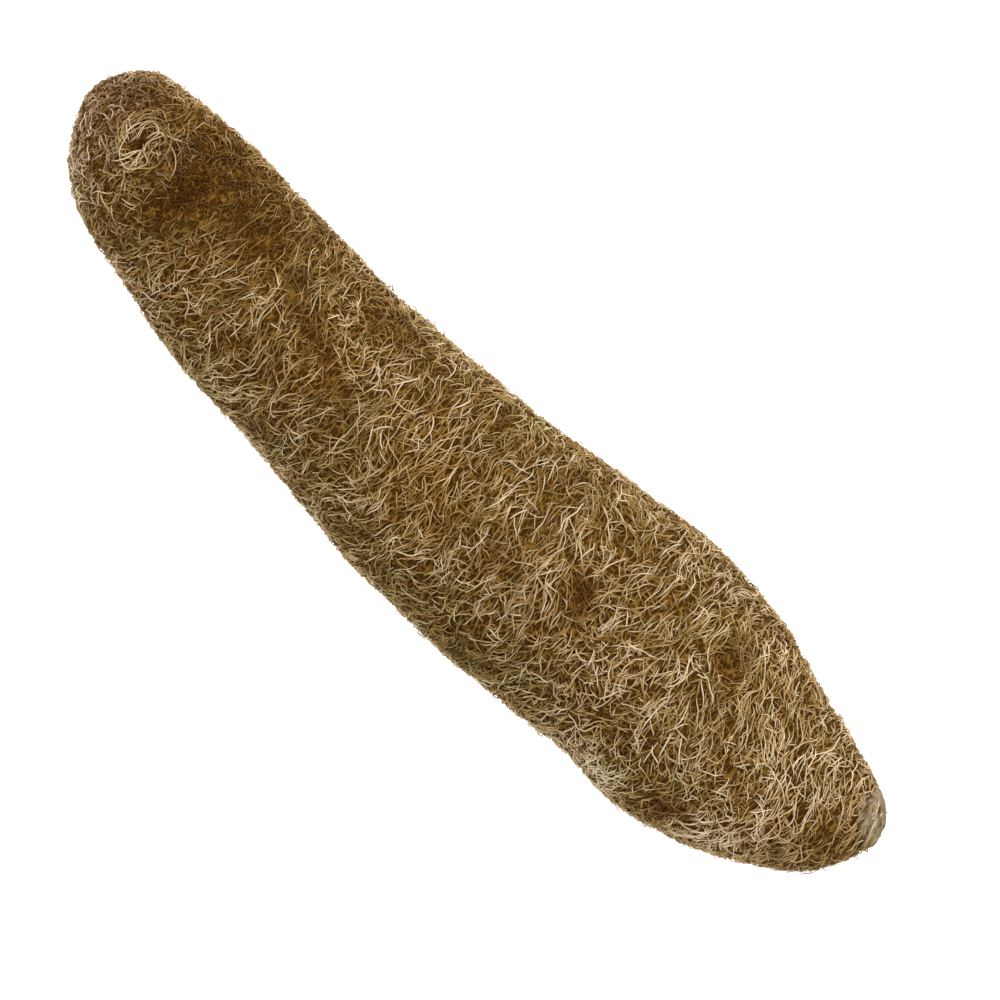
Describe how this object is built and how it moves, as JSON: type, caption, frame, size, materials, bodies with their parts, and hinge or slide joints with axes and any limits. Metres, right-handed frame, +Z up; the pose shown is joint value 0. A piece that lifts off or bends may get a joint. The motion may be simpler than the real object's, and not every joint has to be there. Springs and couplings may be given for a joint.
{
  "type": "natural loofah sponge",
  "caption": "Whole natural loofah: a long, slightly bent club of dried plant fibre with a raised net all over it, a stem scar near one end and a blunt tip at the other.",
  "frame": {"origin": "middle of the bounding box in X and Y, in the plane z = 0 that the sponge rests on", "axes": "+X along the sponge from its stem end to its blossom end, +Z up, and +Y to the side that the outline bends away from near the middle"},
  "size_m": [0.3392, 0.0838, 0.0778],
  "materials": {
    "loofah_fibre": "matt dry plant fibre"
  },
  "bodies": {
    "root": {"loofah": "loofah_fibre"}
  },
  "joints": []
}
